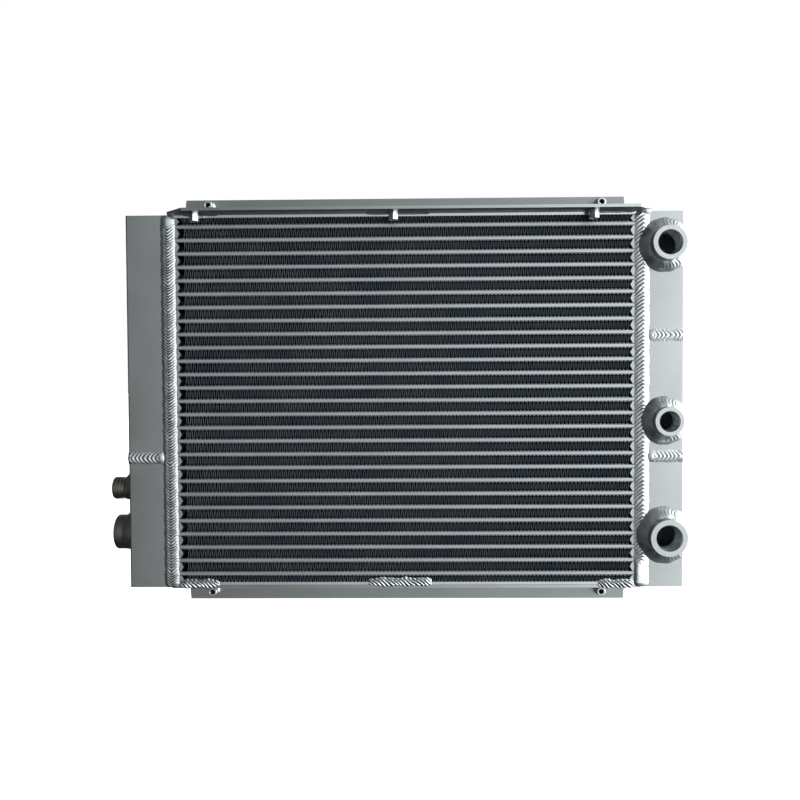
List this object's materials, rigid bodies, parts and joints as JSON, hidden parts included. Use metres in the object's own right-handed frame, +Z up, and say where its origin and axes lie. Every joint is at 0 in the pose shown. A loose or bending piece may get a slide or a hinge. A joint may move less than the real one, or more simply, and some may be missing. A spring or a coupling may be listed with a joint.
{
  "type": "hydraulic oil cooler",
  "caption": "Bar-and-plate aluminium oil cooler: brazed finned core between two welded tanks, threaded front and side ports, and bent mounting brackets above and below.",
  "frame": {"origin": "centre of the four mounting holes, on the rear faces of the bracket flanges", "axes": "+X across the core towards the tank with the front ports, +Y rearward out of the mounting faces, along the air path, +Z up"},
  "size_m": [0.584, 0.088, 0.4305],
  "materials": {
    "core_aluminium": "bare brazed sheet and bar, satin with fine rolling lines",
    "fin_aluminium": "thin brazed sheet, dulled by flux",
    "tank_aluminium": "bare extrusion, satin",
    "machined_aluminium": "turned face",
    "turned_aluminium": "turned bar, dull",
    "bracket_aluminium": "bent mill-finish sheet",
    "zinc_plated_steel": "bright zinc plating",
    "seam_weld": "rippled hand-laid bead",
    "fillet_weld": "rippled hand-laid fillet, brushed after welding"
  },
  "bodies": {
    "root": {"parting_sheets": "core_aluminium", "front_channel_bars": "core_aluminium", "rear_channel_bars": "core_aluminium", "left_air_bars": "core_aluminium", "right_air_bars": "core_aluminium", "top_side_plate": "core_aluminium", "bottom_side_plate": "core_aluminium", "channel_turbulators": "core_aluminium", "upper_pass_fins": "fin_aluminium", "middle_pass_fins": "fin_aluminium", "lower_circuit_fins": "fin_aluminium", "left_upper_tank": "tank_aluminium", "left_lower_tank": "tank_aluminium", "right_upper_tank": "tank_aluminium", "right_middle_tank": "tank_aluminium", "right_lower_tank": "tank_aluminium", "left_top_cap": "tank_aluminium", "left_bottom_cap": "tank_aluminium", "right_top_cap": "tank_aluminium", "right_bottom_cap": "tank_aluminium", "left_partition": "tank_aluminium", "right_upper_partition": "tank_aluminium", "right_lower_partition": "tank_aluminium", "upper_front_port": "machined_aluminium", "middle_front_port": "machined_aluminium", "lower_front_port": "machined_aluminium", "small_side_port": "turned_aluminium", "large_side_port": "turned_aluminium", "top_bracket": "bracket_aluminium", "bottom_bracket": "bracket_aluminium", "top_rivet_nuts": "zinc_plated_steel", "bottom_rivet_nuts": "zinc_plated_steel", "lip_rivet_nuts": "zinc_plated_steel", "front_left_seam": "seam_weld", "front_right_seam": "seam_weld", "rear_left_seam": "seam_weld", "rear_right_seam": "seam_weld", "left_partition_weld": "seam_weld", "right_upper_partition_weld": "seam_weld", "right_lower_partition_weld": "seam_weld", "top_bracket_welds": "seam_weld", "bottom_bracket_welds": "seam_weld", "upper_port_weld": "fillet_weld", "middle_port_weld": "fillet_weld", "lower_port_weld": "fillet_weld", "small_port_weld": "fillet_weld", "large_port_weld": "fillet_weld"}
  },
  "joints": []
}
